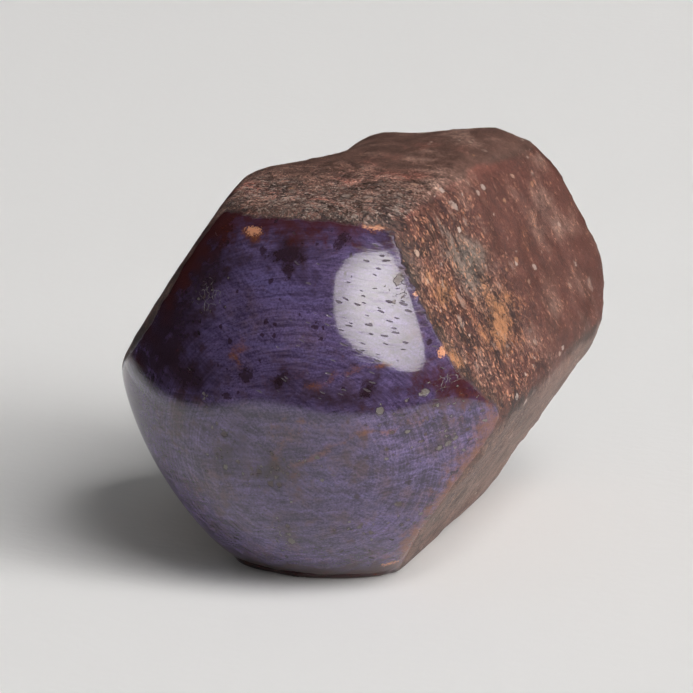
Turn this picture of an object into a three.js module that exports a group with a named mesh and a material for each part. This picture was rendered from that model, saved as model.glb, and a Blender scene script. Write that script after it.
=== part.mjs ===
// Raw ruby crystal: one natural piece of corundum, a short and blunt six-sided barrel.
//
// It lies on one of its six side faces. Its near end is ground and polished into a low dome, its
// sides keep their natural skin, its far end is broken off aslant, and the rear of its left side
// steps inwards behind a slanting shoulder.
//
// Millimetres, +Z up. The long axis lies along Y with the dome towards -Y, and +X is to the right
// as the dome is looked at. The origin is on the resting surface, under the middle of the crystal.

import * as THREE from 'three';
import { mergeVertices } from 'three/addons/utils/BufferGeometryUtils.js';

// ---------------------------------------------------------------- driving dimensions

// Height of the crystal's axis over the surface that it lies on.
const AXIS_HEIGHT = 12.2;

// How far worn edges are rounded: on the front section, on the rear one, at the dome's rim, and
// in the inside corner where the two sections meet.
const FRONT_WEAR = 0.4;
const REAR_WEAR = 0.7;
const RIM_WEAR = 0.3;
const CORNER_WEAR = 0.3;

// Side faces of the front section. A bearing turns round the axis in degrees, from +X at 0 to
// straight up at 90. A lean tips the face by degrees towards the far end, so that the crystal
// tapers that way. The distance is from the axis. The sixth face is the one that it lies on,
// and the lower right one is bent along its middle, with the right foot below the bend.
const FRONT_FACES = {
  top: { bearing: 90, lean: -0.5, distance: 12.9 },
  upperRight: { bearing: 23, lean: -1, distance: 11.5 },
  lowerRight: { bearing: -23, lean: 1.5, distance: 10.95 },
  rightFoot: { bearing: -37, lean: 1.5, distance: 11.1 },
  lowerLeft: { bearing: -142, lean: -8, distance: 10.6 },
  upperLeft: { bearing: 148, lean: -6, distance: 11.0 },
};

// Side faces of the rear section, round an axis that is shifted to the right and up a little.
const REAR_AXIS_SHIFT = [1.5, 0, 0.3];
const REAR_FACES = {
  top: { bearing: 90, lean: -0.5, distance: 12.6 },
  upperRight: { bearing: 30, lean: -8, distance: 10.0 },
  lowerRight: { bearing: -32, lean: -4, distance: 10.8 },
  lowerLeft: { bearing: -150, lean: 0, distance: 9.5 },
  upperLeft: { bearing: 150, lean: 0, distance: 9.3 },
};

// Cuts across the crystal. A heading of 0 faces the far end and 90 faces left; a rise of 90 would
// face straight up. "through" is a point on the cut.
const SHOULDER = { heading: 47, rise: 20, through: [-8.3, 8.8, 25] };
const REAR_LEFT_FLANK = { heading: 90, rise: 12, through: [-4.3, 12, 25] };
const BROKEN_END = { heading: 18, rise: -4, through: [0, 21.5, 12] };
const BROKEN_CORNER = { heading: -45, rise: -25, through: [13, 23, 9] };

// The polished dome. It bulges towards -Y out of the plane of its widest ring, and a higher
// fullness keeps it flatter in the middle.
const DOME = {
  centre: [0.2, 2.4, 12.1],
  halfWidth: 12.4,
  halfHeight: 13.6,
  bulge: 6.8,
  fullness: 2.7,
};

// A point deep inside, from which every point of the surface can be seen.
const HEART = new THREE.Vector3(0.5, 7.5, 12);
const FARTHEST_SURFACE = 40;

// The mesh has 20 * (MESH_DETAIL + 1) ** 2 triangles. Seen from the heart, their sides span about
// 0.06 radians, and a point within CLOSE_TO_EDGE radians of an edge counts as close to it.
const MESH_DETAIL = 19;
const CLOSE_TO_EDGE = 0.022;

// ---------------------------------------------------------------- faces and cuts

const radians = THREE.MathUtils.degToRad;
const planeThrough = (normal, point) =>
  new THREE.Plane().setFromNormalAndCoplanarPoint(normal, point);

function sideFace({ bearing, lean, distance }, axisPoint) {
  const outward = new THREE.Vector3(
    Math.cos(radians(bearing)) * Math.cos(radians(lean)),
    Math.sin(radians(lean)),
    Math.sin(radians(bearing)) * Math.cos(radians(lean)),
  );
  return planeThrough(outward, axisPoint.clone().addScaledVector(outward, distance));
}

function cut({ heading, rise, through }) {
  const outward = new THREE.Vector3(
    -Math.sin(radians(heading)) * Math.cos(radians(rise)),
    Math.cos(radians(heading)) * Math.cos(radians(rise)),
    Math.sin(radians(rise)),
  );
  return planeThrough(outward, new THREE.Vector3(...through));
}

const axisPoint = new THREE.Vector3(0, 0, AXIS_HEIGHT);
const rearAxisPoint = axisPoint.clone().add(new THREE.Vector3(...REAR_AXIS_SHIFT));
const brokenEnd = [cut(BROKEN_END), cut(BROKEN_CORNER)];

const frontPlanes = [
  ...Object.values(FRONT_FACES).map((face) => sideFace(face, axisPoint)),
  cut(SHOULDER),
  ...brokenEnd,
];
const rearPlanes = [
  ...Object.values(REAR_FACES).map((face) => sideFace(face, rearAxisPoint)),
  cut(REAR_LEFT_FLANK),
  ...brokenEnd,
];

// ---------------------------------------------------------------- the crystal as one solid

// Each measure below is negative inside the crystal, zero on its surface and positive outside.

// The largest of some measures, with the edge between any two of them rounded by wear.
function wornMaximum(measures, wear) {
  const largest = Math.max(...measures);
  const sum = measures.reduce((total, each) => total + Math.exp((each - largest) / wear), 0);
  return largest + wear * Math.log(sum);
}

// The smaller of two measures, with the corner between them filled a little.
function wornMinimum(first, second, wear) {
  return -wornMaximum([-first, -second], wear);
}

function beyondDome(point) {
  const [x, y, z] = DOME.centre;
  const fromMiddle = Math.hypot((point.x - x) / DOME.halfWidth, (point.z - z) / DOME.halfHeight);
  const crown = y - DOME.bulge * (1 - fromMiddle ** DOME.fullness);
  return crown - point.y;
}

const beyondPlanes = (planes, point) => planes.map((plane) => plane.distanceToPoint(point));
const belowRest = (point) => -point.z;

function beyondSurface(point) {
  const front = wornMaximum(beyondPlanes(frontPlanes, point), FRONT_WEAR);
  const rear = wornMaximum(beyondPlanes(rearPlanes, point), REAR_WEAR);
  const body = wornMinimum(front, rear, CORNER_WEAR);
  return Math.max(wornMaximum([body, beyondDome(point)], RIM_WEAR), belowRest(point));
}

// The same faces, each on its own: those of the section that reaches out farther at the point.
function faceMeasures(point) {
  const front = beyondPlanes(frontPlanes, point);
  const rear = beyondPlanes(rearPlanes, point);
  const section = Math.max(...front) < Math.max(...rear) ? front : rear;
  return [...section, beyondDome(point), belowRest(point)];
}

// ---------------------------------------------------------------- mesh

function surfacePoint(direction) {
  let inside = 0;
  let outside = FARTHEST_SURFACE;
  for (let step = 0; step < 45; step += 1) {
    const middle = (inside + outside) / 2;
    const point = HEART.clone().addScaledVector(direction, middle);
    if (beyondSurface(point) < 0) inside = middle;
    else outside = middle;
  }
  return HEART.clone().addScaledVector(direction, outside);
}

// How far one face stands out past another at a point, and which way that grows fastest.
function edgeGap(point, first, second) {
  const gapAt = (place) => {
    const measures = faceMeasures(place);
    return measures[first] - measures[second];
  };
  const gap = gapAt(point);
  const nudge = 1e-4;
  const steepest = new THREE.Vector3(
    gapAt(point.clone().add(new THREE.Vector3(nudge, 0, 0))) - gap,
    gapAt(point.clone().add(new THREE.Vector3(0, nudge, 0))) - gap,
    gapAt(point.clone().add(new THREE.Vector3(0, 0, nudge))) - gap,
  ).divideScalar(nudge);
  return { gap, steepest };
}

// A surface point that is close to an edge of the crystal is drawn onto that edge, so that the
// triangles follow the edges instead of crossing them.
function drawnToEdge(point) {
  const measures = faceMeasures(point);
  const order = measures.map((_, index) => index).sort((a, b) => measures[b] - measures[a]);
  const { gap, steepest } = edgeGap(point, order[0], order[1]);
  const away = gap / steepest.length();
  if (away > CLOSE_TO_EDGE * point.distanceTo(HEART)) return point;
  const onEdge = point.clone().addScaledVector(steepest.normalize(), -away);
  return surfacePoint(onEdge.sub(HEART).normalize());
}

function crystalGeometry() {
  const sphere = new THREE.IcosahedronGeometry(1, MESH_DETAIL);
  sphere.deleteAttribute('normal');
  sphere.deleteAttribute('uv');
  const geometry = mergeVertices(sphere);
  const places = geometry.getAttribute('position');
  for (let index = 0; index < places.count; index += 1) {
    const direction = new THREE.Vector3().fromBufferAttribute(places, index).normalize();
    const point = drawnToEdge(surfacePoint(direction));
    places.setXYZ(index, point.x, point.y, point.z);
  }
  geometry.computeBoundingBox();
  const middle = geometry.boundingBox.getCenter(new THREE.Vector3());
  geometry.translate(-middle.x, -middle.y, 0);
  geometry.computeVertexNormals();
  return geometry;
}

// ---------------------------------------------------------------- the part

const corundum = new THREE.MeshStandardMaterial({ color: 0x5c4654, roughness: 0.45, metalness: 0 });

const crystal = new THREE.Mesh(crystalGeometry(), corundum);
crystal.name = 'ruby_crystal';

const part = new THREE.Group();
part.add(crystal);

export default part;
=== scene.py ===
"""A raw ruby crystal with one polished end, on a plain studio floor. Laid out as a Blender add-on."""

import math
from collections import namedtuple

import bpy
import numpy as np
from bpy.props import FloatProperty, FloatVectorProperty, PointerProperty
from bpy.types import Operator, Panel, PropertyGroup
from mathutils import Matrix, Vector, noise
from mathutils.kdtree import KDTree


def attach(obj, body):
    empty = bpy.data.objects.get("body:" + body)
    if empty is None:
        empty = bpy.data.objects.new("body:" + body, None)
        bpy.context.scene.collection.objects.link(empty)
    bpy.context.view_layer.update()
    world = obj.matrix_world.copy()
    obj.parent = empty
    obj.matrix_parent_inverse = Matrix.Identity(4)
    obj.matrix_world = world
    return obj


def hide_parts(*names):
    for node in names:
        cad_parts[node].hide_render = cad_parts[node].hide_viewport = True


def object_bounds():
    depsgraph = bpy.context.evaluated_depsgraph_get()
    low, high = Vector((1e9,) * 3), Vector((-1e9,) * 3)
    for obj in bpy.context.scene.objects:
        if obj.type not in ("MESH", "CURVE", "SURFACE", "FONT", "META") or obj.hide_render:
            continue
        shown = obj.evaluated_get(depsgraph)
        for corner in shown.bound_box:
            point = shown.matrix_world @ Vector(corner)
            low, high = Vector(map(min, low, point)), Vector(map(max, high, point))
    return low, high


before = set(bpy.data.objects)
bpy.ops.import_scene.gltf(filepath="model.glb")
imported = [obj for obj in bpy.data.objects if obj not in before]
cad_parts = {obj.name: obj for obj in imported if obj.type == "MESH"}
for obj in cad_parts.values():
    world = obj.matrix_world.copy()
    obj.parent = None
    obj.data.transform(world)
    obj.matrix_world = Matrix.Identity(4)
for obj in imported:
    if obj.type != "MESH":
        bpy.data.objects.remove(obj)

bl_info = {
    "name": "Raw Ruby Crystal",
    "version": (1, 0, 0),
    "blender": (4, 5, 0),
    "location": "3D View > Sidebar > Ruby",
    "description": "Builds a raw ruby crystal with one polished end, and a small studio around it",
    "category": "Add Mesh",
}

NODE = "ruby_crystal"
MM = 0.001

CAD_LOW, CAD_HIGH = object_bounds()
HALF_WIDTH = CAD_HIGH.x
HALF_LENGTH = CAD_HIGH.y
HEIGHT = CAD_HIGH.z
MIDDLE = (CAD_LOW + CAD_HIGH) / 2

# ---------------------------------------------------------------- what a user would change


def length(name, description, millimetres):
    """A length in metres, given by its default in millimetres."""
    return FloatProperty(
        name=name, description=description, default=millimetres * MM, unit="LENGTH", precision=6
    )


def colour(name, description, default):
    return FloatVectorProperty(
        name=name, description=description, default=default, size=3, min=0, max=1, subtype="COLOR"
    )


class CrystalRelief(PropertyGroup):
    """How deep the relief of each kind of surface is."""

    swell: length("Swell", "Broad swells of the natural skin", 0.10)
    lumps: length("Lumps", "Lumps of the natural skin", 0.05)
    plates: length("Plates", "Height of the thin plates that the skin has broken into", 0.05)
    grooves: length("Grooves", "Grooves along the crystal, on its lower faces", 0.03)
    fracture: length("Fracture", "Hackly relief of the broken end", 0.30)
    bevel: length("Bevel", "How far the polish rolls off towards the unpolished stretches", 0.02)
    undercut: length("Undercut", "How far the dome curves in where it meets the floor", 0.24)
    polish: length("Polish", "Slow waves that grinding left in the dome", 0.008)
    grain: length("Grain", "Fine grain of the skin, as bump", 0.06)
    flakes: length("Flakes", "How far the flakes of the skin stand out, as bump", 0.10)


class CrystalColours(PropertyGroup):
    """Base colours of the crystal's surfaces."""

    violet: colour("Violet", "Polished body", (0.088, 0.060, 0.136))
    # Silk: the body's bluish silk, with its sheen painted in.
    silk_and_sheen: colour("Silk", "Bluish silk in the polished body", (0.100, 0.084, 0.215))
    # Haze: a grey haze over the body, partly a painted sheen.
    haze_and_sheen: colour("Haze", "Grey haze over the polished body", (0.165, 0.115, 0.195))
    gloom: colour("Gloom", "Deep, nearly black zones of the body", (0.029, 0.014, 0.021))
    ruby: colour("Ruby red", "Red where light passes through", (0.062, 0.014, 0.011))
    rust: colour("Rust", "Iron stain under the polish", (0.200, 0.070, 0.030))
    speck: colour("Specks", "Grey-green mineral specks", (0.185, 0.168, 0.140))
    umber: colour("Umber", "Dark brown skin", (0.068, 0.034, 0.026))
    russet: colour("Russet", "Reddish brown skin", (0.115, 0.036, 0.026))
    # The ash colour is also painted over the shaded left faces, as light there.
    ash_and_left_light: colour("Ash", "Pale grey-brown skin", (0.210, 0.129, 0.102))
    copper: colour("Copper", "Copper-coloured flakes", (0.640, 0.290, 0.165))
    silver: colour("Silver", "Pale mica flakes", (0.520, 0.420, 0.365))
    ochre: colour("Ochre", "Orange-tan stain", (0.400, 0.170, 0.070))


class Studio(PropertyGroup):
    """Camera, lights and floor."""

    azimuth: FloatProperty(
        name="Azimuth",
        description="Turn of the camera around the crystal, from straight in front of the dome",
        default=math.radians(19),
        subtype="ANGLE",
    )
    elevation: FloatProperty(
        name="Elevation",
        description="Height of the camera over the floor, as an angle",
        default=math.radians(20),
        subtype="ANGLE",
    )
    distance: length("Distance", "From the camera to what it looks at", 290)
    framed: length("Framed width", "Width of the picture where the camera looks", 46.2)
    window: FloatProperty(
        name="Window", description="Brightness of the mirrored window", default=6.6, min=0
    )
    daylight: FloatProperty(
        name="Daylight", description="Brightness of the light that falls in", default=9.7, min=0
    )
    fill: FloatProperty(
        name="Fill", description="Brightness of the soft light from all around", default=0.18, min=0
    )
    floor: colour("Floor", "Colour of the floor", (0.80, 0.80, 0.80))


# ---------------------------------------------------------------- mesh

Solid = namedtuple("Solid", "places triangles")


def packed_solid(node):
    """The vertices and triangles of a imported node, with each vertex kept once."""
    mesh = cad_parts[node].data
    mesh.calc_loop_triangles()
    places = np.empty(len(mesh.vertices) * 3, np.float32)
    mesh.vertices.foreach_get("co", places)
    corners = np.empty(len(mesh.loop_triangles) * 3, np.int32)
    mesh.loop_triangles.foreach_get("vertices", corners)
    merged, place_of = np.unique(places.reshape(-1, 3), axis=0, return_inverse=True)
    return Solid(merged.astype(float), place_of.reshape(-1)[corners].reshape(-1, 3))


def lengths(vectors):
    return np.linalg.norm(vectors, axis=1, keepdims=True)


def face_normals(solid):
    a, b, c = (solid.places[solid.triangles[:, corner]] for corner in range(3))
    return np.cross(b - a, c - a)


def point_normals(solid):
    """Unit normals at the vertices, from the faces around each by their area."""
    across = face_normals(solid)
    total = np.zeros_like(solid.places)
    for corner in range(3):
        np.add.at(total, solid.triangles[:, corner], across)
    return total / lengths(total)


def sides_of(triangles):
    """The two ends of each side, and for each triangle the numbers of its three sides."""
    pairs = [triangles[:, [0, 1]], triangles[:, [1, 2]], triangles[:, [2, 0]]]
    ends, number = np.unique(np.sort(np.concatenate(pairs), axis=1), axis=0, return_inverse=True)
    return ends, number.reshape(3, -1).T


def sharp_sides(solid, angle):
    """Which sides lie between two faces that meet at more than this angle."""
    ends, sides = sides_of(solid.triangles)
    normals = face_normals(solid)
    normals /= lengths(normals)
    together = np.zeros((len(ends), 3))
    for corner in range(3):
        np.add.at(together, sides[:, corner], normals)
    return lengths(together)[:, 0] < 2 * math.cos(angle / 2)


def subdivided(solid, sharp):
    """One step of Loop's subdivision. Sides that are sharp stay so through this step."""
    places, triangles = solid
    ends, sides = sides_of(triangles)
    first, second = places[ends[:, 0]], places[ends[:, 1]]

    opposite = np.zeros_like(first)
    for corner in range(3):
        np.add.at(opposite, sides[:, corner], places[triangles[:, (corner + 2) % 3]])
    middles = np.where(
        sharp[:, None], (first + second) / 2, (first + second) * 3 / 8 + opposite / 8
    )

    neighbours = np.zeros_like(places)
    sharp_neighbours = np.zeros_like(places)
    count = np.zeros(len(places))
    sharp_count = np.zeros(len(places))
    for end, other in ((0, second), (1, first)):
        np.add.at(neighbours, ends[:, end], other)
        np.add.at(count, ends[:, end], 1)
        np.add.at(sharp_neighbours, ends[sharp, end], other[sharp])
        np.add.at(sharp_count, ends[sharp, end], 1)
    share = (5 / 8 - (3 / 8 + np.cos(2 * np.pi / count) / 4) ** 2)[:, None]
    smooth = (1 - share) * places + share * neighbours / count[:, None]
    along = places * 3 / 4 + sharp_neighbours / 8
    kept = np.where(sharp_count[:, None] == 2, along, places)
    corners = np.where(sharp_count[:, None] < 2, smooth, kept)

    ab, bc, ca = (len(places) + sides[:, side] for side in range(3))
    a, b, c = triangles.T
    parts = [(a, ab, ca), (ab, b, bc), (ca, bc, c), (ab, bc, ca)]
    finer = np.concatenate([np.stack(part, axis=1) for part in parts])
    return Solid(np.concatenate([corners, middles]), finer)


def smooth_step(value, low, high):
    share = np.clip((value - low) / (high - low), 0, 1)
    return share * share * (3 - 2 * share)


def noise_at(places, period, octaves=3, stretch=(1, 1, 1), seed=0.0):
    """Fractal noise around 0 at each place. The period in millimetres is stretched along the axes."""
    scaled = places / (period * MM * np.array(stretch)) + seed
    return np.array([noise.fractal(Vector(place), 1.0, 2.0, octaves) for place in scaled])


# ---------------------------------------------------------------- where things are on the crystal

# The skin and the polished dome meet at the rim, where the surface faces this much forwards.
RIM_FACING = 0.30

# Up to this height in millimetres the dome curves in towards the floor.
UNDERCUT_HEIGHT = 2.2

# The polish stops short of the rim by this many millimetres, and by more on the stretches below.
# Where the amount is negative, it goes on over the rim.
# A bearing turns from 0 at the right to 90 at the top, and both angles are in degrees.
POLISH_MARGIN = 0.05
Stretch = namedtuple("Stretch", "bearing reach amount")
UNPOLISHED = [
    Stretch(64, 11, 0.85),
    Stretch(46, 15, 0.5),
    Stretch(96, 34, 0.45),
    Stretch(158, 22, 0.9),
    Stretch(14, 9, 0.35),
    Stretch(-90, 34, -0.9),
]

# Where the body glows dark red inside the rim, where it is stained by rust there, and where it is
# nearly black. Along the bottom, the nearly black border is painted shade where the dome meets
# the floor.
RED_BORDER = [Stretch(85, 34, 1.1), Stretch(135, 24, 1.0), Stretch(170, 20, 0.35)]
RUSTY_BORDER = [Stretch(-10, 18, 1.1), Stretch(-48, 22, 0.9), Stretch(-125, 30, 0.4)]
DARK_BORDER_AND_SHADE = [Stretch(-95, 30, 1.0), Stretch(100, 40, 0.55), Stretch(150, 30, 0.5)]

# Places on the dome, each in the list of what is there: across from -1 at the left to 1 at the
# right of the crystal, and up from 0 to 1 at its top. Width and height are in millimetres, and the
# tilt turns the place anticlockwise.
Place = namedtuple("Place", "across up width height tilt strength", defaults=(0, 1))
GLOOM = [
    Place(-0.55, 0.70, 5.6, 11.0, -28),
    Place(-0.41, 0.86, 5.0, 5.0, 30),
    Place(-0.46, 0.60, 5.5, 3.0, -10, 0.95),
    Place(0.00, 0.90, 4.8, 1.4, 0, 0.9),
    Place(0.10, 0.87, 2.2, 1.8, 0, 0.6),
    Place(0.34, 0.590, 11.0, 2.2, 0, 0.6),
    Place(0.35, 0.95, 2.6, 1.4, -20, 0.9),
    Place(0.40, 0.60, 1.6, 1.4, 0, 0.8),
    Place(0.03, 0.62, 1.2, 1.4, 0, 0.7),
    Place(-0.01, 0.37, 2.6, 1.8, 0, 0.8),
    Place(-0.20, 0.40, 2.2, 1.4, 20, 0.6),
    Place(-0.16, 0.46, 1.4, 2.4, 0, 0.4),
    Place(-0.28, 0.52, 2.0, 1.2, 0, 0.35),
    Place(0.32, 0.47, 2.6, 1.6, -30, 0.35),
]
PITS = [
    Place(-0.14, 0.63, 0.9, 0.9),
    Place(0.03, 0.62, 0.8, 0.9),
    Place(0.40, 0.60, 1.0, 0.9),
    Place(0.19, 0.94, 0.7, 0.9),
    Place(-0.20, 0.56, 0.6, 0.7),
    Place(0.16, 0.76, 0.5, 0.6),
    Place(-0.01, 0.900, 3.0, 0.8),
    Place(0.01, 0.875, 0.8, 1.0),
    Place(-0.15, 0.91, 0.6, 0.5),
]
RUBY = [
    Place(0.74, 0.575, 5.0, 2.6, -38),
    Place(0.64, 0.62, 3.0, 1.8, -40, 0.7),
    Place(-0.34, 0.93, 6.0, 2.0, 30, 0.6),
    Place(-0.66, 0.76, 2.0, 8.0, -32, 0.5),
    Place(0.05, 0.975, 9.0, 1.0, 0, 0.5),
    Place(0.08, 0.64, 6.0, 0.8, 12, 0.35),
]
RUST = [
    Place(-0.95, 0.48, 3.4, 10.0, 0, 0.6),
    Place(0.82, 0.44, 2.6, 5.0, -12, 0.7),
    Place(0.72, 0.27, 1.8, 6.5, -38, 0.7),
    Place(-0.17, 0.675, 1.8, 0.7, 60, 0.75),
    Place(0.43, 0.055, 2.4, 0.9, 10, 0.8),
    Place(0.10, 0.50, 5.0, 0.4, 14, 0.4),
    Place(0.08, 0.43, 3.2, 3.6, 20, 0.40),
    Place(-0.21, 0.945, 1.4, 0.6, 0, 0.9),
    Place(0.31, 0.96, 1.6, 0.6, -8, 0.9),
]
VEINS = [
    Place(0.22, 0.435, 6.2, 0.50, 31, 0.75),
    Place(0.46, 0.492, 4.4, 0.45, 11, 0.75),
    Place(0.25, 0.630, 4.2, 0.40, 18, 0.65),
    Place(0.42, 0.655, 2.8, 0.40, 4, 0.65),
]
GLINTS = [
    Place(-0.21, 0.943, 1.5, 0.55, 5),
    Place(0.31, 0.967, 1.8, 0.60, -8),
    Place(0.53, 0.815, 0.5, 0.7, 0, 0.8),
    Place(0.66, 0.670, 0.6, 0.9, 20),
    Place(0.41, 0.055, 1.6, 0.6, 10, 0.8),
    Place(0.83, 0.530, 0.4, 1.0, 25, 0.9),
]
# Where the silk lies, with its painted sheen.
SILK_AND_SHEEN = [
    Place(-0.02, 0.84, 10.0, 2.2, 0, 0.70),
    Place(-0.02, 0.72, 12.0, 1.6, 0, 0.7),
    Place(0.25, 0.67, 9.0, 2.2, -4, 0.8),
    Place(0.40, 0.33, 10.0, 7.0, 0, 0.7),
    Place(-0.05, 0.15, 12.0, 4.0, 0, 0.6),
]
# Where the grey haze lies, partly a painted sheen.
HAZE_AND_SHEEN = [
    Place(-0.12, 0.745, 8.0, 2.6, -6, 1.0),
    Place(0.13, 0.70, 5.0, 1.8, -6, 0.9),
    Place(0.02, 0.45, 11.0, 5.0, 0, 0.7),
    Place(-0.30, 0.35, 8.0, 9.0, 0, 0.6),
    Place(0.30, 0.25, 12.0, 6.0, 0, 0.4),
]
GRIT = [
    Place(0.66, 0.50, 5.0, 4.0, 0, 0.9),
    Place(0.58, 0.22, 2.6, 2.2, 0, 1.1),
    Place(0.66, 0.26, 1.4, 1.4, 0, 1.0),
    Place(0.00, 0.37, 4.0, 2.6, 0, 1.0),
    Place(-0.22, 0.42, 2.0, 2.6, 0, 0.95),
    Place(-0.26, 0.52, 2.4, 1.6, 0, 0.8),
    Place(0.31, 0.20, 2.0, 1.4, 0, 1.1),
    Place(-0.01, 0.18, 2.4, 1.8, 0, 0.9),
    Place(0.40, 0.18, 1.4, 1.2, 0, 0.9),
    Place(-0.33, 0.80, 2.4, 1.4, 25, 0.8),
    Place(0.49, 0.85, 1.4, 2.0, 0, 0.9),
]

# Where the polish is full of short scratches, and where small fractures branch in it.
SCRATCHED = [
    Place(0.42, 0.80, 7.0, 9.0, 0, 1.0),
    Place(0.25, 0.62, 6.0, 2.0, 0, 0.5),
]
SCARS = [
    Place(-0.36, 0.79, 2.4, 1.9, 30),
    Place(0.69, 0.60, 1.8, 1.4, 0, 0.9),
    Place(0.49, 0.84, 1.2, 1.6, 0),
]

# Places on the right-hand skin, as they are seen from the right: along from -1 at the dome to 1 at
# the broken end, and up from 0 to 1.
OCHRE = [
    Place(-0.42, 0.78, 2.8, 1.8, -20),
    Place(-0.14, 0.66, 5.0, 3.4, 10),
    Place(-0.62, 0.64, 2.6, 1.4, -40, 0.9),
    Place(-0.10, 0.75, 1.2, 1.8, 0, 0.7),
    Place(0.42, 0.80, 3.0, 2.0, 10, 0.5),
]
GREY = [
    Place(-0.14, 0.82, 4.6, 5.0, 0),
    Place(-0.40, 0.62, 2.2, 4.4, 30, 0.5),
]


# How far the outlines of places wander: those of broad places, and those of narrow ones.
WIDE_WANDER = 0.9 * MM
NARROW_WANDER = 0.35 * MM


def nearness(first, second, place):
    """1 in the middle of a place, fading away from it, by two distances in millimetres."""
    turn = math.radians(place.tilt)
    along = (first * math.cos(turn) + second * math.sin(turn)) / (place.width / 2)
    across = (second * math.cos(turn) - first * math.sin(turn)) / (place.height / 2)
    return place.strength * np.exp(-0.8 * (along * along + across * across))


def strongest(places, axis, reach, chosen):
    """The strongest of some chosen places at each vertex. They spread along an axis and up."""
    found = [
        nearness(
            (places[:, axis] - place.across * reach) / MM,
            (places[:, 2] - place.up * HEIGHT) / MM,
            place,
        )
        for place in chosen
    ]
    return np.max(found, axis=0)


def on_dome(places, chosen):
    return strongest(places, 0, HALF_WIDTH, chosen)


def on_right(places, chosen):
    return strongest(places, 1, HALF_LENGTH, chosen)


def rim_depth(solid, normals):
    """How far inside the dome's rim each vertex is, in millimetres. It is negative on the skin."""
    facing = -normals[:, 1]
    ends, _ = sides_of(solid.triangles)
    before, after = facing[ends[:, 0]] - RIM_FACING, facing[ends[:, 1]] - RIM_FACING
    crossing = before * after < 0
    before, after, ends = before[crossing], after[crossing], ends[crossing]
    share = (before / (before - after))[:, None]
    rim = solid.places[ends[:, 0]] * (1 - share) + solid.places[ends[:, 1]] * share
    tree = KDTree(len(rim))
    for number, place in enumerate(rim):
        tree.insert(place, number)
    tree.balance()
    away = np.array([tree.find(place)[2] for place in solid.places]) / MM
    return np.where(facing > RIM_FACING, away, -away)


def around(bearing, stretches):
    """The amounts of some stretches of the rim, added up, at each bearing."""
    total = np.zeros(len(bearing))
    for stretch in stretches:
        turn = (bearing - stretch.bearing + 180) % 360 - 180
        total += stretch.amount * np.exp(-((turn / stretch.reach) ** 2))
    return total


def dome_looks(solid, normals, wander):
    """The amounts of the dome's looks. The depth of its polish is in millimetres."""
    places = solid.places
    wandering = places + wander * WIDE_WANDER
    waving = places + wander * NARROW_WANDER
    depth = rim_depth(solid, normals)
    middle = places[depth > 0].mean(axis=0)
    bearing = np.degrees(np.arctan2(wandering[:, 2] - middle[2], wandering[:, 0] - middle[0]))
    unpolished = around(bearing, UNPOLISHED)
    fray = noise_at(places, 0.9, 3, seed=5)
    red_border = around(bearing, RED_BORDER) * (1 - smooth_step(depth + fray * 0.8, 0.2, 4.0))
    rusty_border = around(bearing, RUSTY_BORDER) * (1 - smooth_step(depth + fray * 0.6, 0.0, 2.3))
    dark_border_and_shade = around(bearing, DARK_BORDER_AND_SHADE) * (1 - smooth_step(depth + fray * 0.3, 0.1, 1.0))
    # Painted shade: towards its foot, where it meets the floor, the dome is painted nearly black and
    # dark red.
    painted_foot_shade = 1 - smooth_step(places[:, 2] / MM + fray * 0.4, 0.0, 2.4)
    return {
        "polish_depth": depth - POLISH_MARGIN - unpolished + fray * (0.1 + 0.15 * unpolished),
        "unpolished": np.clip(unpolished / 2, 0, 1),
        # The gloom holds painted shade along the foot and the bottom border, besides the places where
        # the body is nearly black.
        "gloom": np.maximum.reduce([on_dome(wandering, GLOOM), dark_border_and_shade, painted_foot_shade]),
        "pit": on_dome(waving, PITS),
        # The dark red along the foot is painted shade as well.
        "ruby": np.maximum.reduce([on_dome(wandering, RUBY), red_border, 0.9 * painted_foot_shade]),
        "rust": np.maximum.reduce([on_dome(wandering, RUST), on_dome(waving, VEINS), rusty_border]),
        "glint": on_dome(places, GLINTS),
        "silk_and_sheen": on_dome(wandering, SILK_AND_SHEEN),
        "haze_and_sheen": on_dome(wandering, HAZE_AND_SHEEN),
        "grit": on_dome(wandering, GRIT),
        "scratched": on_dome(wandering, SCRATCHED),
        "scar": on_dome(places, SCARS),
        "shaded": 1 - smooth_step(places[:, 2] / HEIGHT, 0.50, 0.60),
    }


def skin_looks(solid, normals, wander):
    """The amounts of the looks of the natural skin and the broken end."""
    places = solid.places
    wandering = places + wander * WIDE_WANDER
    right, back, up = normals.T
    top = smooth_step(up, 0.65, 0.95)
    lower = smooth_step(-up, 0.05, 0.4)
    left = smooth_step(-right, 0.2, 0.6)
    upper_right = smooth_step(right, 0.45, 0.8) * smooth_step(up, -0.1, 0.25)
    broken = smooth_step(back, 0.45, 0.75)
    natural = 1 - broken
    along = (places[:, 1] / HALF_LENGTH + 1) / 2
    near = 1 - smooth_step(along, 0.30, 0.70)
    crisp = np.maximum.reduce([near, 0.8 * left, 0.8 * broken])
    patches = noise_at(places, 3.2, 3, seed=41)
    redness = noise_at(places, 5.5, 2, seed=67)
    return {
        "ochre": on_right(wandering, OCHRE) * (right > 0) * natural,
        "grey": on_right(wandering, GREY) * (right > 0) * natural,
        "copper": np.clip(upper_right * (0.3 + 0.7 * near) + 0.3 * patches, 0, 1) * natural,
        "silver": np.clip(top * near + 0.25 * patches, 0, 1) * natural,
        # Top faces: the skin is painted brighter there, as light from above.
        "top": top * natural,
        # Pale ash skin on the lower faces, towards the far end and in patches; on the left faces it is
        # painted light on their shaded side.
        "ash_and_left_light": np.clip(lower + 0.7 * left + 0.25 * (1 - near) + 0.6 * patches, 0, 1) * natural,
        "russet": np.clip(0.5 + 0.9 * redness + upper_right * (0.7 - 0.4 * near) - 0.4 * top, 0, 1),
        "near": near,
        "crisp": crisp * (1 - 0.5 * lower * (1 - left)),
        "broken": broken,
    }


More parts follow.
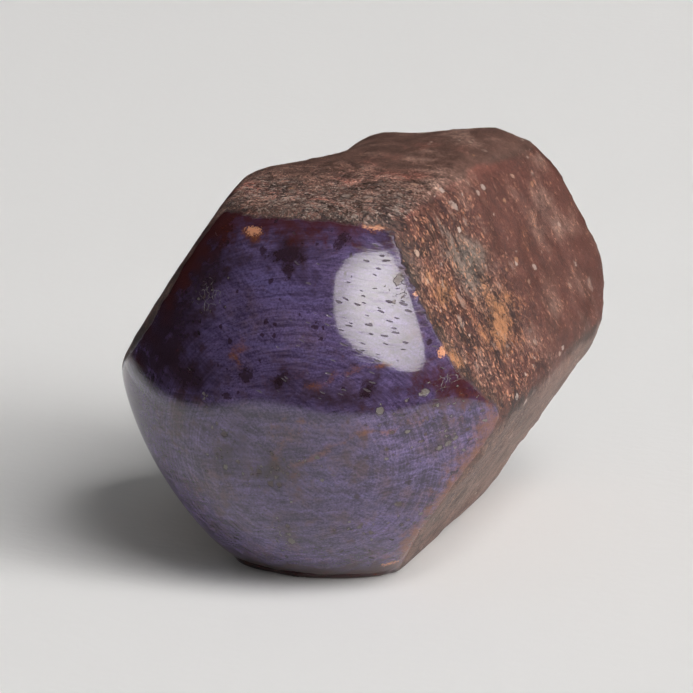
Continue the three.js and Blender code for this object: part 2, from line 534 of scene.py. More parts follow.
def looks_of(solid, normals):
    """The amount of each look at each vertex, by name."""
    wander = np.stack([noise_at(solid.places, 2.4, 4, seed=seed) for seed in (3, 17, 29)], axis=1)
    return {**dome_looks(solid, normals, wander), **skin_looks(solid, normals, wander)}


def relief(solid, normals, looks, depths):
    """How far each vertex moves out, in metres."""
    places = solid.places
    skin = smooth_step(-looks["polish_depth"], -0.10, 0.70)
    lower = smooth_step(-normals[:, 2], 0.05, 0.4)
    swell = depths.swell * noise_at(places, 7, 2, seed=11)
    lumps = depths.lumps * noise_at(places, 1.7, 3, stretch=(1, 1.5, 1), seed=23)
    level = 3.2 * noise_at(places, 4.2, 3, stretch=(1, 1.3, 1), seed=31)
    plates = depths.plates * (np.floor(level) + smooth_step(level % 1, 0.0, 0.3))
    grooves = depths.grooves * lower * noise_at(places, 0.8, 3, stretch=(1, 9, 1), seed=37)
    ridges = 1 - 2 * np.abs(noise_at(places, 3.4, 4, seed=43))
    fracture = depths.fracture * looks["broken"] * (ridges - 0.6)
    bevel = depths.bevel * looks["unpolished"] * (1 - smooth_step(looks["polish_depth"], -0.5, 0.7))
    polish = depths.polish * noise_at(places, 4, 2, seed=53)
    worn = 1 - 0.6 * smooth_step(-normals[:, 0], 0.2, 0.6)
    natural = worn * (swell + lumps + plates + grooves) + fracture
    outward = skin * natural + (1 - skin) * polish - bevel
    rest_edge = smooth_step(places[:, 2], 0.1 * MM, 1.6 * MM)
    dome_foot = (1 - places[:, 2] / (UNDERCUT_HEIGHT * MM)).clip(0, 1) ** 2
    dome_foot = dome_foot * smooth_step(-normals[:, 1], 0.2, 0.5)
    return outward * rest_edge - depths.undercut * dome_foot


def mesh_object(name, solid, looks):
    mesh = bpy.data.meshes.new(name)
    mesh.from_pydata(solid.places.tolist(), [], solid.triangles.tolist())
    mesh.shade_smooth()
    for look, amounts in looks.items():
        attribute = mesh.attributes.new(look, "FLOAT", "POINT")
        attribute.data.foreach_set("value", amounts.astype(np.float32))
    piece = bpy.data.objects.new(name, mesh)
    bpy.context.scene.collection.objects.link(piece)
    return piece


# ---------------------------------------------------------------- materials


class Value:
    """One output of a node. Arithmetic on it adds Math nodes."""

    def __init__(self, nodes, socket):
        self.nodes = nodes
        self.socket = socket

    def math(self, operation, *values):
        return self.nodes.add("ShaderNodeMath", {"operation": operation}, dict(enumerate(values)))

    def other(self, output):
        """Another output of the same node."""
        return Value(self.nodes, self.socket.node.outputs[output])

    def __add__(self, other):
        return self.math("ADD", self, other)

    def __radd__(self, other):
        return self.math("ADD", other, self)

    def __sub__(self, other):
        return self.math("SUBTRACT", self, other)

    def __rsub__(self, other):
        return self.math("SUBTRACT", other, self)

    def __mul__(self, other):
        return self.math("MULTIPLY", self, other)

    def __rmul__(self, other):
        return self.math("MULTIPLY", other, self)

    def __pow__(self, other):
        return self.math("POWER", self, other)

    def __or__(self, other):
        """The larger of two masks."""
        return self.math("MAXIMUM", self, other)


class Nodes:
    """The nodes of one material."""

    def __init__(self, name):
        self.material = bpy.data.materials.new(name)
        self.material.use_nodes = True
        self.tree = self.material.node_tree
        self.tree.nodes.clear()

    def add(self, kind, settings=None, inputs=None, output=0):
        """A new node's output. Settings are set before the sockets' values and links."""
        node = self.tree.nodes.new(kind)
        for name, value in (settings or {}).items():
            setattr(node, name, value)
        for name, value in (inputs or {}).items():
            socket = node.inputs[name]
            if isinstance(value, Value):
                self.tree.links.new(value.socket, socket)
            else:
                socket.default_value = value
        return Value(self, node.outputs[output]) if node.outputs else None

    def look(self, name):
        """The amount of a look that the mesh holds."""
        settings = {"attribute_type": "GEOMETRY", "attribute_name": name}
        return self.add("ShaderNodeAttribute", settings, output="Fac")

    def step(self, value, low, high):
        """Smoothly from 0 at low to 1 at high."""
        if low > high:
            return 1 - self.step(value, high, low)
        settings = {"interpolation_type": "SMOOTHSTEP", "clamp": True}
        inputs = {"Value": value, "From Min": low, "From Max": high}
        return self.add("ShaderNodeMapRange", settings, inputs)

    def mix(self, base, other, share):
        """One colour laid over another."""
        settings = {"data_type": "RGBA", "blend_type": "MIX", "clamp_factor": True}
        return self.add("ShaderNodeMix", settings, {0: share, 6: base, 7: other}, output=2)

    def vector(self, operation, first, second, output=0):
        """A sum, product or measure of two vectors."""
        inputs = {0: first, 1: second}
        return self.add("ShaderNodeVectorMath", {"operation": operation}, inputs, output)

    def length(self, places):
        return self.vector("LENGTH", places, (0, 0, 0), output="Value")

    def times(self, base, amount):
        """A colour or a vector made larger or smaller."""
        inputs = {0: base, "Scale": amount}
        return self.add("ShaderNodeVectorMath", {"operation": "SCALE"}, inputs)

    def places(self):
        """Places on the piece in millimetres."""
        return self.times(self.add("ShaderNodeTexCoord", output="Object"), 1 / MM)

    def stretched(self, places, x, y, z):
        """Places drawn out along the axes, so that a pattern on them is."""
        return self.vector("MULTIPLY", places, (1 / x, 1 / y, 1 / z))

    def turned(self, places, degrees, axis):
        inputs = {"Vector": places, "Angle": math.radians(degrees)}
        return self.add("ShaderNodeVectorRotate", {"rotation_type": axis}, inputs)

    def wavering(self, places, amount, scale):
        """Places moved about by noise, so that a pattern on them loses its straight lines."""
        chance = self.noise(places, scale, 2, 0.5).other("Color")
        centred = self.vector("SUBTRACT", chance, (0.5, 0.5, 0.5))
        return self.vector("ADD", places, self.times(centred, amount))

    def noise(self, places, scale, detail=3.0, roughness=0.55):
        """Noise from 0 to 1, with its scale as waves in a millimetre."""
        inputs = {"Vector": places, "Scale": scale, "Detail": detail, "Roughness": roughness}
        return self.add("ShaderNodeTexNoise", {"noise_dimensions": "3D"}, inputs)

    def cells(self, places, scale, dimensions="3D"):
        """The distance from the middle of the nearest cell. Its other outputs tell the cells apart."""
        settings = {"voronoi_dimensions": dimensions, "feature": "F1"}
        return self.add("ShaderNodeTexVoronoi", settings, {"Vector": places, "Scale": scale})

    def chances(self, cells):
        """Three numbers from 0 to 1 for each cell."""
        red = self.add("ShaderNodeSeparateColor", {}, {0: cells.other("Color")}, output="Red")
        return red, red.other("Green"), red.other("Blue")

    def bump(self, height):
        """A normal for a height in millimetres."""
        return self.add("ShaderNodeBump", {}, {"Strength": 1.0, "Distance": MM, "Height": height})

    def surface(self, shader):
        """The finished material."""
        self.add("ShaderNodeOutputMaterial", {}, {"Surface": shader})
        return self.material

    def lit(self, glow, strength):
        """A finished black material with a glow that changes over it."""
        inputs = {"Base Color": BLACK, "Specular IOR Level": 0.0}
        inputs.update({"Emission Color": glow, "Emission Strength": strength})
        return self.surface(self.add("ShaderNodeBsdfPrincipled", {}, inputs))


BLACK = (0.0, 0.0, 0.0, 1.0)
WHITE = (1.0, 1.0, 1.0, 1.0)


def rgb(colour_property):
    return (*colour_property, 1.0)


# Where the polishing marks turn round, across and up on the dome.
LAP_CENTRE = (0.10, 0.40)

# Sizes of the grit, as grains side by side in a millimetre.
GRIT_SCALES = (1.3, 2.8)

CORUNDUM_IOR = 1.77


def dome_places(nodes):
    """Places on the dome as it is looked at from the front: across, up and 0, in millimetres."""
    across = nodes.add("ShaderNodeSeparateXYZ", {}, {0: nodes.places()}, output="X")
    inputs = {
        "X": across - LAP_CENTRE[0] * HALF_WIDTH / MM,
        "Y": across.other("Z") - LAP_CENTRE[1] * HEIGHT / MM,
    }
    return nodes.add("ShaderNodeCombineXYZ", {}, inputs)


def lap_rings(nodes, flat):
    """Fine rings that the polishing lap left, from 0 to 1."""
    radius = nodes.length(flat)
    across = nodes.add("ShaderNodeSeparateXYZ", {}, {0: flat}, output="X")
    angle = across.math("ARCTAN2", across.other("Y"), across)
    polar = nodes.add("ShaderNodeCombineXYZ", {}, {"X": radius * 6, "Y": angle * 1.6})
    rings = nodes.noise(polar, 1.0, 4, 0.65)
    return 0.5 + (rings - 0.5) * nodes.step(radius, 3.0, 7.5)


def brush_strokes(nodes, flat):
    """Faint strokes across the rings, in one direction or another by turns, from 0 to 1."""
    falling = nodes.stretched(nodes.turned(flat, 35, "Z_AXIS"), 2.4, 0.20, 1)
    rising = nodes.stretched(nodes.turned(flat, -12, "Z_AXIS"), 2.8, 0.18, 1)
    share = nodes.step(nodes.noise(flat, 0.32, 2), 0.46, 0.54)
    return nodes.noise(falling, 1.0, 4, 0.6) * share + nodes.noise(rising, 1.0, 4, 0.6) * (1 - share)


def polished_body(nodes, colours, places, rings, strokes):
    """The colour of the body as it shows through the polish."""
    wavy = nodes.wavering(places, 0.5, 1.2)
    streaky = nodes.noise(nodes.stretched(wavy, 4, 2, 0.45), 1.0, 7, 0.72)
    fine = nodes.noise(places, 7, 5, 0.75)
    blotchy = nodes.noise(wavy, 0.9, 7, 0.68)
    broad = nodes.noise(places, 0.35, 4, 0.6)

    # The silk is partly the body's silk and partly its sheen, painted into the colour.
    silk_and_sheen = (nodes.look("silk_and_sheen") | 0.25) * nodes.step(streaky * 0.6 + blotchy * 0.4, 0.40, 0.62)
    # The haze is partly a painted sheen over the body.
    haze_and_sheen = (nodes.look("haze_and_sheen") | 0.20) * nodes.step(blotchy, 0.36, 0.66)
    rough_edge = (blotchy - 0.5) * 1.9 + (fine - 0.5) * 1.1
    gloom = nodes.step(nodes.look("gloom") + rough_edge, 0.12, 0.95)
    ruby = nodes.step(nodes.look("ruby") + rough_edge, 0.15, 1.05)
    rust = nodes.step(nodes.look("rust") + rough_edge, 0.25, 1.05)
    glint = nodes.step(nodes.look("glint") + (fine - 0.5) * 2.0, 0.55, 0.80)
    umber = nodes.step(blotchy * 0.6 + broad * 0.4, 0.46, 0.62)

    base = nodes.mix(rgb(colours.violet), rgb(colours.haze_and_sheen), haze_and_sheen * 0.55)
    base = nodes.mix(base, rgb(colours.silk_and_sheen), silk_and_sheen * 0.8)
    shaded = nodes.look("shaded")
    base = nodes.mix(base, rgb(colours.umber), umber * (0.40 + shaded * 0.25))
    lines = nodes.step(rings, 0.36, 0.64) * 0.40 + nodes.step(streaky, 0.35, 0.65) * 0.40
    lines = lines + nodes.step(strokes, 0.35, 0.65) * 0.36
    pattern = (fine * 2.6 - 0.3 | 0.1) * (0.44 + lines) + (blotchy - 0.5) * (0.4 + shaded * 0.9)
    base = nodes.times(base, 1 + (pattern - 1) * (1 + shaded * 0.5) | 0.1 + shaded * 0.3)
    # The gloom and the ruby red include painted shade along the foot of the dome, where it meets the
    # floor.
    base = nodes.mix(base, rgb(colours.gloom), gloom * 0.88)
    base = nodes.mix(base, rgb(colours.ruby), ruby * 0.85)
    base = nodes.mix(base, nodes.times(tuple(colours.rust), 0.3 + fine * 1.4), rust * 0.8)
    return nodes.mix(base, rgb(colours.copper), glint)


def flat_cells(nodes, flat, scale, angle=0, stretch=1):
    """Cells on the front of the dome: the distance from the middle of each, and three chances."""
    turned = nodes.turned(flat, -angle, "Z_AXIS")
    cells = nodes.cells(nodes.stretched(turned, stretch, 1, 1), scale, "2D")
    return cells, nodes.chances(cells)


def dark_specks(nodes, flat):
    """Small dark inclusions. Gloomy places have more of them."""
    cells, (chance, size, _) = flat_cells(nodes, nodes.wavering(flat, 0.35, 4), 1.3)
    shown = nodes.step(chance + nodes.look("gloom") * 0.4, 0.74, 0.78)
    small = nodes.step(0.03 + size * size * 0.24 - cells, 0.0, 0.07) * shown
    ragged = nodes.noise(flat, 3.5, 5, 0.75) * 2.6 - 1.3
    return small | nodes.step(nodes.look("pit") + ragged, 0.42, 0.66)


def scratches(nodes, flat):
    """Short pits that slant down to the right."""
    cells, (chance, size, _) = flat_cells(nodes, nodes.wavering(flat, 0.30, 1.5), 3.3, -20, 4.2)
    shown = nodes.step(chance + nodes.look("scratched") * 0.65, 0.95, 0.98)
    return nodes.step(0.07 + size * 0.15 - cells, 0.0, 0.06) * shown


def grey_grit(nodes, flat, scale):
    """Grey-green mineral specks in clusters: their dark outlines, middles, and a chance for each."""
    cells, (chance, size, tint) = flat_cells(nodes, nodes.wavering(flat, 0.4, 4), scale)
    shown = nodes.step(chance + nodes.look("grit") * 0.80, 1.00, 1.05)
    inside = 0.03 + size * size * 0.36 - cells
    return nodes.step(inside, -0.10, -0.03) * shown, nodes.step(inside, 0.0, 0.08) * shown, tint


def scar_lines(nodes, flat):
    """Pale branching lines of small fractures in the polish."""
    settings = {"voronoi_dimensions": "2D", "feature": "DISTANCE_TO_EDGE"}
    inputs = {"Vector": nodes.wavering(flat, 0.5, 2.5), "Scale": 2.4}
    away = nodes.add("ShaderNodeTexVoronoi", settings, inputs)
    broken = nodes.noise(flat, 2.4, 3) * 2.4 - 1.2
    return nodes.step(away, 0.05, 0.0) * nodes.step(nodes.look("scar") + broken, 0.45, 0.8)


def flake_layer(nodes, places, scale, amount, clumps):
    """Flat flakes: the mask of those that show, their chances, and their height in cell sizes."""
    cells = nodes.cells(places, scale)
    chance, size, tint = nodes.chances(cells)
    away = nodes.vector("SUBTRACT", places, cells.other("Position"))
    lean = nodes.vector("SUBTRACT", cells.other("Color"), (0.5, 0.5, 0.5))
    tilt = nodes.vector("DOT_PRODUCT", away, lean, output="Value") * scale
    shown = nodes.step(chance + amount * 0.55 + (clumps - 0.5) * 1.7, 1.0, 1.2)
    whole = nodes.step(0.35 + size * 0.45 - cells, 0.0, 0.25)
    return shown * whole, tint, tilt * 1.5 + size * 0.4


SkinPatterns = namedtuple("SkinPatterns", "wavy grained mottle crust clumps detail")


def skin_patterns(nodes, places):
    """Noises that the natural skin is drawn with, and how crisp they are where it lies."""
    wavy = nodes.wavering(nodes.wavering(places, 0.5, 1.1), 0.14, 6)
    grained = nodes.stretched(nodes.turned(wavy, 28, "Y_AXIS"), 1, 1, 1.9)
    return SkinPatterns(
        wavy=wavy,
        grained=grained,
        mottle=nodes.noise(grained, 0.85, 8, 0.70),
        crust=nodes.noise(grained, 7, 6, 0.78),
        clumps=nodes.noise(wavy, 0.8, 5, 0.65),
        detail=0.5 + nodes.look("crisp") * 0.5,
    )


def skin_ground(nodes, colours, patterns, fresh, wrinkles):
    """The colour of the skin under its flakes."""
    mottle, crust, detail = patterns.mottle, patterns.crust, patterns.detail
    silver = nodes.look("silver")
    russet = nodes.step(nodes.look("russet") + (mottle - 0.5) * 2.2 * detail, 0.25, 0.95)
    # Ash includes painted light on the shaded left faces.
    ash_and_left_light = nodes.step(nodes.look("ash_and_left_light") + (mottle - 0.5) * 2.0 * detail, 0.2, 1.1)
    grey = nodes.step(nodes.look("grey") + (mottle - 0.5) * 3.0 + (crust - 0.5) * 1.6, 0.35, 1.0)
    base = nodes.mix(rgb(colours.umber), rgb(colours.russet), russet * 0.8)
    base = nodes.mix(base, rgb(colours.ash_and_left_light), ash_and_left_light * 0.75)
    base = nodes.mix(base, rgb(colours.speck), grey * 0.5)
    base = nodes.mix(base, rgb(colours.violet), fresh * 0.45)
    fine = 1 + (crust - 0.5) * (5.0 * detail + silver * 7.0)
    broad = 1 + (nodes.step(mottle, 0.30, 0.70) - 0.5) * 1.3 * (detail - 0.1)
    broad = broad * (1 + (wrinkles - 0.5) * 4.5 * silver | 0.25)
    # Brighter on silvery skin and on the broken end; on the top faces the extra brightness is painted
    # light from above.
    tone_and_top_light = 0.95 + silver * 0.5 + nodes.look("top") * 1.05 + nodes.look("broken") * 0.45
    return nodes.times(base, (fine | 0.08) * broad * tone_and_top_light)


def skin_flakes(nodes, colours, patterns, base):
    """Flakes laid over the skin's colour: that colour, their gloss and their height."""
    grained, detail = patterns.grained, patterns.detail
    silver = nodes.look("silver")
    flaky = nodes.look("copper") | silver
    coarse, coarse_tint, coarse_height = flake_layer(
        nodes, grained, 1.5, flaky * 0.5, patterns.clumps
    )
    small, small_tint, small_height = flake_layer(
        nodes, grained, 4.5, flaky * 0.9, patterns.crust
    )
    glint, glint_tint, _ = flake_layer(nodes, grained, 8.0, flaky * 1.2, patterns.mottle)

    metal = nodes.mix(rgb(colours.copper), rgb(colours.silver), silver)
    small_share = (0.03 + small_tint ** 2 * 0.8) * (1 + silver * 0.4)
    base = nodes.mix(base, metal, small * small_share * detail)
    coarse_colour = nodes.mix(metal, rgb(colours.silver), coarse_tint)
    base = nodes.mix(base, coarse_colour, coarse * (0.06 + coarse_tint ** 2 * 0.6) * detail)
    base = nodes.mix(base, metal, glint * (glint_tint ** 1.5 + silver * 0.3) * detail)
    rim_shade = 1 - nodes.step(nodes.look("polish_depth"), -1.3, -0.2) * flaky * 0.5
    gloss = small * 0.20 + glint * 0.16 + coarse * 0.12
    height = small * small_height * 0.3 + coarse * coarse_height * 0.8
    return nodes.times(base, rim_shade), gloss, height


def pale_flecks(nodes, colours, places):
    """Small round flecks on the skin: where they are and their colour."""
    cells = nodes.cells(nodes.wavering(places, 0.4, 2.5), 1.2)
    chance, size, tint = nodes.chances(cells)
    shown = nodes.step(chance + nodes.look("copper") * 0.30, 0.88, 0.92)
    flecks = nodes.step(0.10 + size * 0.25 - cells, 0.0, 0.10) * shown
    return flecks, nodes.mix(rgb(colours.ochre), rgb(colours.silver), tint * 1.3)


def raw_skin(nodes, colours, depths, places):
    """The natural skin: its colour, its roughness and its height in millimetres."""
    patterns = skin_patterns(nodes, places)
    mottle, crust = patterns.mottle, patterns.crust
    near = nodes.look("near")
    fresh = nodes.look("broken") * nodes.step(patterns.clumps, 0.40, 0.60)
    wrinkles = nodes.noise(nodes.stretched(patterns.wavy, 1.6, 0.7, 1), 1.6, 4, 0.7)
    base = skin_ground(nodes, colours, patterns, fresh, wrinkles)
    base, gloss, flakes = skin_flakes(nodes, colours, patterns, base)

    ochre = nodes.look("ochre") + (crust - 0.5) * 2.2 + (mottle - 0.5) * 2.4
    ochre_shade = (crust * 2.2 - 0.1 | 0.1) * (0.3 + mottle * 1.4)
    ochre_colour = nodes.times(tuple(colours.ochre), ochre_shade)
    base = nodes.mix(base, ochre_colour, nodes.step(ochre, 0.40, 0.95) * 0.85)
    flecks, fleck_colour = pale_flecks(nodes, colours, places)
    base = nodes.mix(base, fleck_colour, flecks * (0.5 + near * 0.4))
    seams = nodes.noise(patterns.grained, 0.7, 6, 0.6) - 0.5
    cracks = nodes.step(0.022 - seams.math("ABSOLUTE", seams), 0.0, 0.014) * near
    # Painted shade: the cracks are darkened towards gloom, besides being sunk by the bump.
    base = nodes.mix(base, rgb(colours.gloom), cracks * 0.7)

    roughness = 0.58 - gloss - fresh * 0.18
    height = (crust * 1.2 + mottle) * (depths.grain / MM) + flakes * (depths.flakes / MM)
    height = height + wrinkles * nodes.look("silver") * 0.15
    return base, roughness, (height - cracks * 0.06) * (0.65 + near * 0.35)


def marked_body(nodes, colours, places, flat, body):
    """Specks, scratches and scars laid over the body: its colour, the scratches and the grit."""
    dashes = scratches(nodes, flat)
    scars = scar_lines(nodes, flat)
    body = nodes.mix(body, rgb(colours.gloom), (dark_specks(nodes, flat) | dashes) * 0.8)
    grit = scars
    for scale in GRIT_SCALES:
        outline, middle, tint = grey_grit(nodes, flat, scale)
        spotted = nodes.step(tint + (nodes.noise(places, 6, 3) - 0.5) * 2.6, 0.2, 1.0)
        grain = nodes.mix(rgb(colours.umber), rgb(colours.speck), spotted)
        body = nodes.mix(body, rgb(colours.gloom), outline * 0.55)
        body = nodes.mix(body, grain, middle * 0.65)
        grit = grit | middle
    return nodes.mix(body, rgb(colours.speck), scars * 0.7), dashes, grit


def crystal_material(colours, depths):
    nodes = Nodes("polished_and_raw_corundum")
    places = nodes.places()
    edge = nodes.noise(places, 3.0, 5, 0.7) - 0.5
    polished = nodes.step(nodes.look("polish_depth") + edge * 0.9, -0.10, 0.16)

    flat = dome_places(nodes)
    rings = lap_rings(nodes, flat)
    body = polished_body(nodes, colours, places, rings, brush_strokes(nodes, flat))
    body, dashes, grit = marked_body(nodes, colours, places, flat, body)
    hairlines = nodes.stretched(nodes.turned(flat, 9, "Z_AXIS"), 1.8, 0.12, 1)
    hairlines = nodes.step(nodes.noise(hairlines, 1.0, 4, 0.7), 0.46, 0.72)
    hairlines = hairlines * nodes.look("scratched")
    worn_edge = nodes.step(nodes.look("polish_depth"), 0.6, 0.0)
    body_roughness = 0.03 + rings * 0.05 + hairlines * 0.40 + grit * 0.3 + dashes * 0.5
    body_roughness = body_roughness + worn_edge * 0.3
    brushed = nodes.noise(nodes.stretched(places, 3, 2, 0.6), 1.4, 5, 0.6)
    body_height = rings * 0.001 + brushed * 0.006 - dashes * 0.02 - grit * 0.02

    skin, skin_roughness, skin_height = raw_skin(nodes, colours, depths, places)
    inputs = {
        "Base Color": nodes.mix(skin, body, polished),
        "Roughness": body_roughness * polished + skin_roughness * (1 - polished),
        "Normal": nodes.bump(body_height * polished + skin_height * (1 - polished)),
        "IOR": CORUNDUM_IOR,
    }
    return nodes.surface(nodes.add("ShaderNodeBsdfPrincipled", {}, inputs))


def floor_material(colour_of_floor):
    nodes = Nodes("pale_paper")
    fibres = nodes.noise(nodes.stretched(nodes.places(), 2, 1, 1), 1.6, 5, 0.6)
    normal = nodes.bump(fibres * 0.030)
    inputs = {
        "Base Color": rgb(colour_of_floor),
        "Roughness": 0.9,
        "Specular IOR Level": 0.1,
        "Normal": normal,
    }
    return nodes.surface(nodes.add("ShaderNodeBsdfPrincipled", {}, inputs))


def glowing_material(name, glow, strength):
    nodes = Nodes(name)
    inputs = {"Color": (*glow, 1.0), "Strength": strength}
    return nodes.surface(nodes.add("ShaderNodeEmission", {}, inputs))


# ---------------------------------------------------------------- operators


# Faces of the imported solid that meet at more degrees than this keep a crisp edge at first.
CRISP_EDGE = 24


def crystal_solid():
    """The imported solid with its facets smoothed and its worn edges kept."""
    solid = packed_solid(NODE)
    solid = subdivided(solid, sharp_sides(solid, math.radians(CRISP_EDGE)))
    ends, _ = sides_of(solid.triangles)
    return subdivided(solid, np.zeros(len(ends), bool))


class RUBY_OT_crystal(Operator):
    """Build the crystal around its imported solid, with its relief and material"""

    bl_idname = "ruby.crystal"
    bl_label = "Ruby crystal"

    def execute(self, context):
        depths, colours = context.scene.ruby_relief, context.scene.ruby_colours
        solid = crystal_solid()
        normals = point_normals(solid)
        looks = looks_of(solid, normals)
        outward = relief(solid, normals, looks, depths)
        places = solid.places + normals * outward[:, None]
        places[:, 2] = np.maximum(places[:, 2], 0)
        piece = mesh_object("ruby", Solid(places, solid.triangles), looks)
        piece.data.materials.append(crystal_material(colours, depths))
        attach(piece, "root")
        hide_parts(NODE)
        return {"FINISHED"}


def turns_of(count):
    """Angles of points spread evenly round a circle."""
    return [2 * math.pi * number / count for number in range(count)]


def ring_mesh(name, inner, outer, middle):
    """A flat ring on the floor, or a disc if its inner radius is 0."""
    mesh = bpy.data.meshes.new(name)
    count = 96
    radii = [outer] if inner == 0 else [inner, outer]
    points = [
        (middle.x + radius * math.cos(turn), middle.y + radius * math.sin(turn), 0)
        for radius in radii
        for turn in turns_of(count)
    ]
    if inner == 0:
        faces = [list(range(count))]
    else:
        after = [(number + 1) % count for number in range(count)]
        faces = [[n, count + n, count + after[n], after[n]] for n in range(count)]
    mesh.from_pydata(points, [], faces)
    return mesh


def staged(name, mesh, material):
    piece = bpy.data.objects.new(name, mesh)
    mesh.materials.append(material)
    bpy.context.scene.collection.objects.link(piece)
    return piece


def direction(azimuth, elevation):
    """A unit vector by degrees: azimuth from -Y towards +X, elevation over the floor."""
    azimuth, elevation = math.radians(azimuth), math.radians(elevation)
    flat = math.cos(elevation)
    return Vector((math.sin(azimuth) * flat, -math.cos(azimuth) * flat, math.sin(elevation)))


# The floor that the polish reflects fades into the dark between these radii from its own middle,
# which is to the right of the crystal's. The rest of the floor doesn't show in reflections.
NEAR_FLOOR = 68 * MM
FADED_FLOOR = 86 * MM
NEAR_FLOOR_MIDDLE = Vector((25 * MM, -5 * MM, 0))
FLOOR_GLOW = 0.75

# The floor lies this little under the crystal and ends at the backdrop. Lengths are in metres.
FLOOR_DROP = -0.01 * MM
FAR_FLOOR = 1.6
BACKDROP_HEIGHT = 0.9
BACKDROP_COLOUR = (0.70, 0.70, 0.70)

# The window and the light that falls in share an upright plane, this many metres off at this
# azimuth. Places on it are backwards and up from its foot, each as a share of the distance.
WINDOW_DISTANCE = 0.8
WINDOW_AZIMUTH = 70

# The window is brightest up to one distance from its middle and has faded at the other. Both are
# in millimetres, and reach farther upwards and downwards by the tallness.
WINDOW_MIDDLE = (-0.32, 1.15)
WINDOW_BRIGHT = 80
WINDOW_FADED = 620
WINDOW_TALLNESS = 1.8
WINDOW_LIGHT = (1.0, 0.975, 0.93)
FRAME_LIGHT = (0.53, 0.505, 0.48)
DAYLIGHT = (1.0, 0.98, 0.96)

# Outlines of the window, as the polish mirrors it, and of the light that falls in.
WINDOW_CORNERS = [
    (-1.15, 2.30),
    (-1.19, 0.95),
    (-0.72, 0.46),
    (-0.12, 0.10),
    (0.10, 0.20),
    (0.21, 0.85),
    (0.02, 1.60),
    (-0.50, 2.40),
    (-0.85, 2.62),
]
DAYLIGHT_CORNERS = [
    (0.00, 0.12),
    (0.52, 0.10),
    (0.52, 2.10),
    (0.30, 3.00),
    (-0.75, 3.00),
    (-0.55, 1.40),
    (-0.20, 0.70),
]


def make_floor(studio):
    paper = floor_material(studio.floor)
    near = staged("near_floor", ring_mesh("near_floor", 0, NEAR_FLOOR, NEAR_FLOOR_MIDDLE), paper)
    ring = ring_mesh("far_floor", NEAR_FLOOR, FAR_FLOOR, NEAR_FLOOR_MIDDLE)
    far = staged("far_floor", ring, paper)
    for piece in (near, far):
        piece.location.z = FLOOR_DROP
    far.visible_glossy = False
    make_floor_glow()


def make_floor_glow():
    """The fading edge of the floor, which only reflections show."""
    nodes = Nodes("fading_paper")
    share = nodes.step(nodes.length(nodes.places()), FADED_FLOOR / MM, NEAR_FLOOR / MM)
    paper = nodes.lit(nodes.mix(BLACK, WHITE, share), FLOOR_GLOW)
    ring = ring_mesh("floor_edge", NEAR_FLOOR, FADED_FLOOR, Vector((0, 0, 0)))
    edge = staged("floor_edge", ring, paper)
    edge.location = NEAR_FLOOR_MIDDLE
    edge.location.z = FLOOR_DROP / 2
    edge.visible_camera = False
    edge.visible_diffuse = False
    edge.visible_shadow = False


def make_backdrop():
    """A pale wall far off, which only the camera sees."""
    count = 64
    points = [
        (FAR_FLOOR * math.cos(turn), FAR_FLOOR * math.sin(turn), height)
        for height in (0, BACKDROP_HEIGHT)
        for turn in turns_of(count)
    ]
    faces = [[n, (n + 1) % count, count + (n + 1) % count, count + n] for n in range(count)]
    mesh = bpy.data.meshes.new("backdrop")
    mesh.from_pydata(points, [], faces)
    wall = staged("backdrop", mesh, glowing_material("pale_wall", BACKDROP_COLOUR, 1.0))
    wall.visible_diffuse = False
    wall.visible_glossy = False
    wall.visible_shadow = False


def rounded(corners):
    """A closed outline with its corners cut, and cut again."""
    for _ in range(2):
        corners = [
            (x * (1 - share) + next_x * share, y * (1 - share) + next_y * share)
            for (x, y), (next_x, next_y) in zip(corners, corners[1:] + corners[:1])
            for share in (0.2, 0.8)
        ]
    return corners


def on_window(back, up):
    """A point in the plane of the window."""
    towards = direction(WINDOW_AZIMUTH, 0)
    backwards = Vector((-towards.y, towards.x, 0))
    return (towards + backwards * back + Vector((0, 0, up))) * WINDOW_DISTANCE


def window_material(strength):
    """Light that is brightest around the middle of the window."""
    nodes = Nodes("window")
    away = nodes.vector("SUBTRACT", nodes.places(), tuple(on_window(*WINDOW_MIDDLE) / MM))
    away = nodes.stretched(away, 1, 1, WINDOW_TALLNESS)
    bright = nodes.step(nodes.length(away), WINDOW_FADED, WINDOW_BRIGHT)
    return nodes.lit(nodes.mix(rgb(FRAME_LIGHT), rgb(WINDOW_LIGHT), bright), strength)


def make_pane(name, corners, material):
    """A bright pane off to the right, which the camera doesn't see."""
    points = [on_window(back, up) for back, up in corners]
    mesh = bpy.data.meshes.new(name)
    mesh.from_pydata(points, [], [list(range(len(points)))])
    pane = staged(name, mesh, material)
    pane.visible_camera = False
    return pane


def make_window(studio):
    """The window as the polish mirrors it, and the light that falls in from there."""
    window = window_material(studio.window)
    make_pane("window", rounded(WINDOW_CORNERS), window).visible_diffuse = False
    daylight = glowing_material("daylight", DAYLIGHT, studio.daylight)
    make_pane("daylight", DAYLIGHT_CORNERS, daylight).visible_glossy = False


def make_fill(studio):
    world = bpy.data.worlds.new("soft_room")
    world.use_nodes = True
    background = world.node_tree.nodes["Background"]
    background.inputs["Color"].default_value = (1, 1, 1, 1)
    background.inputs["Strength"].default_value = studio.fill
    world.cycles_visibility.glossy = False
    bpy.context.scene.world = world


# What the camera looks at, from the middle of the crystal.
AIM_OFFSET = Vector((1.5, -4.7, 2.0)) * MM


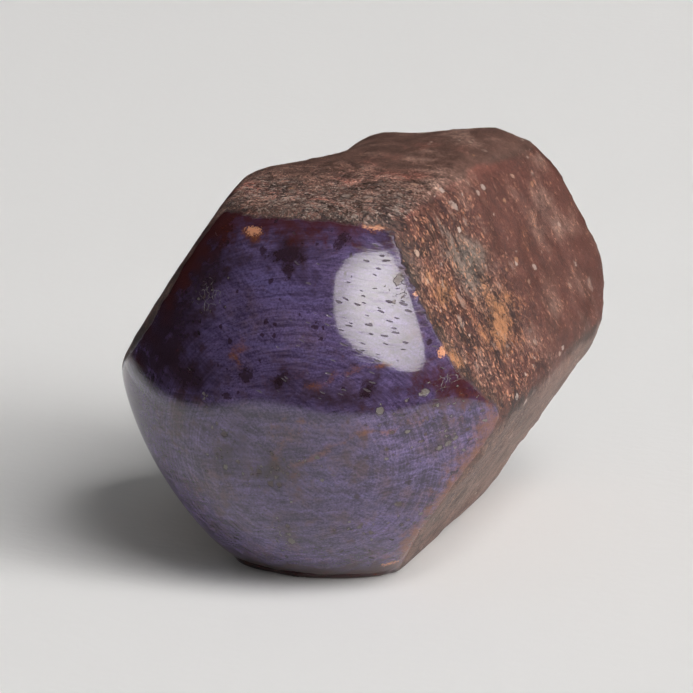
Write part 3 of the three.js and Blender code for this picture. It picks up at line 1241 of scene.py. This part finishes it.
def make_camera(studio):
    aim = MIDDLE + AIM_OFFSET
    back = direction(math.degrees(studio.azimuth), math.degrees(studio.elevation))
    data = bpy.data.cameras.new("camera")
    data.sensor_width = 36
    data.lens = data.sensor_width * studio.distance / studio.framed
    data.clip_start = 0.01
    data.clip_end = 10
    camera = bpy.data.objects.new("camera", data)
    camera.location = aim + back * studio.distance
    camera.rotation_mode = "QUATERNION"
    camera.rotation_quaternion = (-back).to_track_quat("-Z", "Y")
    bpy.context.scene.collection.objects.link(camera)
    bpy.context.scene.camera = camera


class RUBY_OT_stage(Operator):
    """Lay the floor, hang the backdrop, and place the window, the fill light and the camera"""

    bl_idname = "ruby.stage"
    bl_label = "Studio"

    def execute(self, context):
        studio = context.scene.ruby_studio
        make_floor(studio)
        make_backdrop()
        make_window(studio)
        make_fill(studio)
        make_camera(studio)
        context.scene.view_settings.view_transform = "Standard"
        return {"FINISHED"}


class RUBY_PT_bench(Panel):
    """Everything that builds the crystal, and what can be changed first"""

    bl_label = "Raw ruby crystal"
    bl_idname = "RUBY_PT_bench"
    bl_space_type = "VIEW_3D"
    bl_region_type = "UI"
    bl_category = "Ruby"

    def draw(self, context):
        for operator in OPERATORS:
            self.layout.operator(operator.bl_idname)
        for name in SETTINGS:
            group = getattr(context.scene, name)
            box = self.layout.box()
            for each in group.__annotations__:
                box.prop(group, each)


OPERATORS = (RUBY_OT_stage, RUBY_OT_crystal)
SETTINGS = {"ruby_relief": CrystalRelief, "ruby_colours": CrystalColours, "ruby_studio": Studio}


def register():
    for each in (*SETTINGS.values(), *OPERATORS, RUBY_PT_bench):
        bpy.utils.register_class(each)
    for name, group in SETTINGS.items():
        setattr(bpy.types.Scene, name, PointerProperty(type=group))


def unregister():
    for name in SETTINGS:
        delattr(bpy.types.Scene, name)
    for each in reversed((*SETTINGS.values(), *OPERATORS, RUBY_PT_bench)):
        bpy.utils.unregister_class(each)


def main():
    register()
    bpy.ops.ruby.stage()
    bpy.ops.ruby.crystal()


if __name__ == "__main__":
    main()
